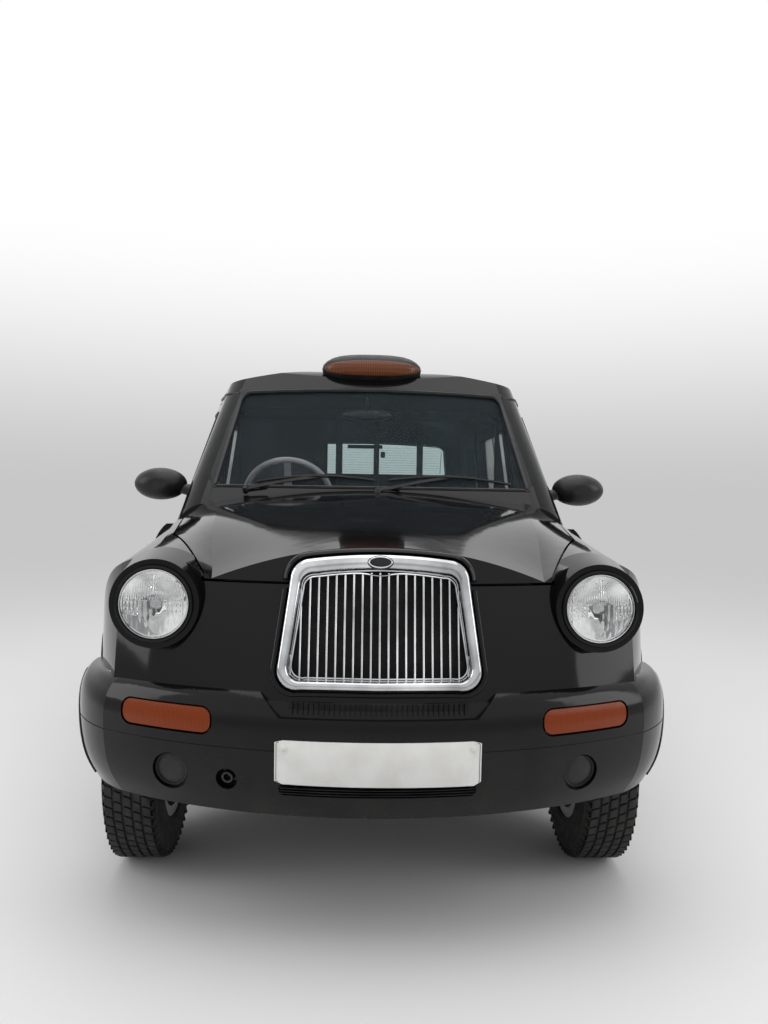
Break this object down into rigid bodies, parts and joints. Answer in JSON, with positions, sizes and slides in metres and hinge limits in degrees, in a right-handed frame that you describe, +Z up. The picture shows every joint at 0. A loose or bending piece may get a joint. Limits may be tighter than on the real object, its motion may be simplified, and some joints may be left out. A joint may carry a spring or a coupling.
{
  "type": "taxi cab",
  "caption": "Black upright taxi cab with round headlamps, a chrome upright-bar grille, side doors that open, a glass partition and a roof sign.",
  "frame": {"origin": "on the ground below the middle of the cab's length and width", "axes": "+X to the cab's left side, +Y to its rear (its nose is at -Y), +Z up"},
  "size_m": [1.9802, 4.5849, 1.834],
  "materials": {
    "body_paint": "gloss black paint",
    "liner": "matt black",
    "chassis": "satin black",
    "dash": "grained dark grey",
    "glass": "clear, slightly green",
    "tinted_glass": "tinted",
    "seat_cloth": "dark woven cloth",
    "cast_metal": "as cast",
    "floor_mat": "ribbed rubber",
    "amber_lens": "amber lens",
    "plate": "plain white",
    "chrome": "polished",
    "lamp": "reflector, black rim",
    "black_plastic": "satin",
    "trim": "grained grey",
    "sign": "black, orange lens",
    "grey_plastic": "light grey",
    "red_lens": "red lens",
    "tyre": "black rubber",
    "wheel_silver": "silver"
  },
  "bodies": {
    "cab": {"arch_liners": "liner", "bulkhead": "liner", "chassis": "chassis", "dashboard": "dash", "driver_seat": "seat_cloth", "engine_block": "cast_metal", "floor_pan": "floor_mat", "front_bumper": "body_paint", "front_indicators": "amber_lens", "front_plate": "plate", "front_suspension": "cast_metal", "front_wing_left": "body_paint", "front_wing_right": "body_paint", "grille": "chrome", "headlamp_lenses": "glass", "headlamps": "lamp", "nose_panel": "body_paint", "partition": "trim", "partition_glass": "glass", "quarter_windows": "tinted_glass", "rear_axle": "cast_metal", "rear_bumper": "body_paint", "rear_seat": "seat_cloth", "rear_window": "glass", "roof": "body_paint", "roof_sign": "sign", "scuttle": "body_paint", "side_frame_left": "body_paint", "side_frame_right": "body_paint", "tail_lamps": "red_lens", "tail_panel": "body_paint", "tip_up_seats": "seat_cloth", "windscreen": "glass", "wipers": "black_plastic"},
    "door_fl": {"door_front_left": "body_paint", "door_glass_front_left": "glass", "mirror_left": "black_plastic"},
    "door_fr": {"door_front_right": "body_paint", "door_glass_front_right": "glass", "mirror_right": "black_plastic"},
    "door_rl": {"door_rear_left": "body_paint", "door_glass_rear_left": "tinted_glass"},
    "door_rr": {"door_rear_right": "body_paint", "door_glass_rear_right": "tinted_glass"},
    "bonnet": {"bonnet": "body_paint"},
    "boot_lid": {"boot_lid": "body_paint", "rear_plate": "plate"},
    "steering_wheel": {"steering_wheel": "grey_plastic"},
    "knuckle_left": {"knuckle_left": "cast_metal"},
    "knuckle_right": {"knuckle_right": "cast_metal"},
    "wheel_fl": {"wheel_front_left": "wheel_silver", "tyre_front_left": "tyre"},
    "wheel_fr": {"wheel_front_right": "wheel_silver", "tyre_front_right": "tyre"},
    "wheel_rl": {"wheel_rear_left": "wheel_silver", "tyre_rear_left": "tyre"},
    "wheel_rr": {"wheel_rear_right": "wheel_silver", "tyre_rear_right": "tyre"}
  },
  "joints": [
    {"name": "steer_left", "type": "hinge", "parent": "cab", "child": "knuckle_left", "pos_m": [0.631, -1.5, 0.34], "axis": [0, 0, 1], "range_deg": [-45, 45]},
    {"name": "steer_right", "type": "hinge", "parent": "cab", "child": "knuckle_right", "pos_m": [-0.631, -1.5, 0.34], "axis": [0, 0, 1], "range_deg": [-45, 45]},
    {"name": "steering_wheel_turn", "type": "hinge", "parent": "cab", "child": "steering_wheel", "pos_m": [-0.362, -0.555, 1.186], "axis": [0, 0.866, 0.5], "range_deg": [-586, 586]},
    {"name": "wheel_fl_spin", "type": "hinge", "parent": "knuckle_left", "child": "wheel_fl", "pos_m": [0.731, -1.5, 0.34], "axis": [1, 0, 0], "continuous": true},
    {"name": "wheel_fr_spin", "type": "hinge", "parent": "knuckle_right", "child": "wheel_fr", "pos_m": [-0.731, -1.5, 0.34], "axis": [1, 0, 0], "continuous": true},
    {"name": "wheel_rl_spin", "type": "hinge", "parent": "cab", "child": "wheel_rl", "pos_m": [0.731, 1.386, 0.34], "axis": [1, 0, 0], "continuous": true},
    {"name": "wheel_rr_spin", "type": "hinge", "parent": "cab", "child": "wheel_rr", "pos_m": [-0.731, 1.386, 0.34], "axis": [1, 0, 0], "continuous": true},
    {"name": "door_fl_hinge", "type": "hinge", "parent": "cab", "child": "door_fl", "pos_m": [0.884, -0.977, 0.8], "axis": [0, 0, -1], "range_deg": [0, 70]},
    {"name": "door_fr_hinge", "type": "hinge", "parent": "cab", "child": "door_fr", "pos_m": [-0.884, -0.977, 0.8], "axis": [0, 0, 1], "range_deg": [0, 70]},
    {"name": "door_rl_hinge", "type": "hinge", "parent": "cab", "child": "door_rl", "pos_m": [0.884, 0.03, 0.8], "axis": [0, 0, -1], "range_deg": [0, 80]},
    {"name": "door_rr_hinge", "type": "hinge", "parent": "cab", "child": "door_rr", "pos_m": [-0.884, 0.03, 0.8], "axis": [0, 0, 1], "range_deg": [0, 80]},
    {"name": "bonnet_hinge", "type": "hinge", "parent": "cab", "child": "bonnet", "pos_m": [0, -1.134, 1.206], "axis": [-1, 0, 0], "range_deg": [0, 50]},
    {"name": "boot_hinge", "type": "hinge", "parent": "cab", "child": "boot_lid", "pos_m": [0, 2.056, 1.268], "axis": [1, 0, 0], "range_deg": [0, 75]}
  ],
  "couplings": [
    {"joint": "steer_right", "follows": "steer_left", "ratio": 1},
    {"joint": "steering_wheel_turn", "follows": "steer_left", "ratio": 13}
  ]
}
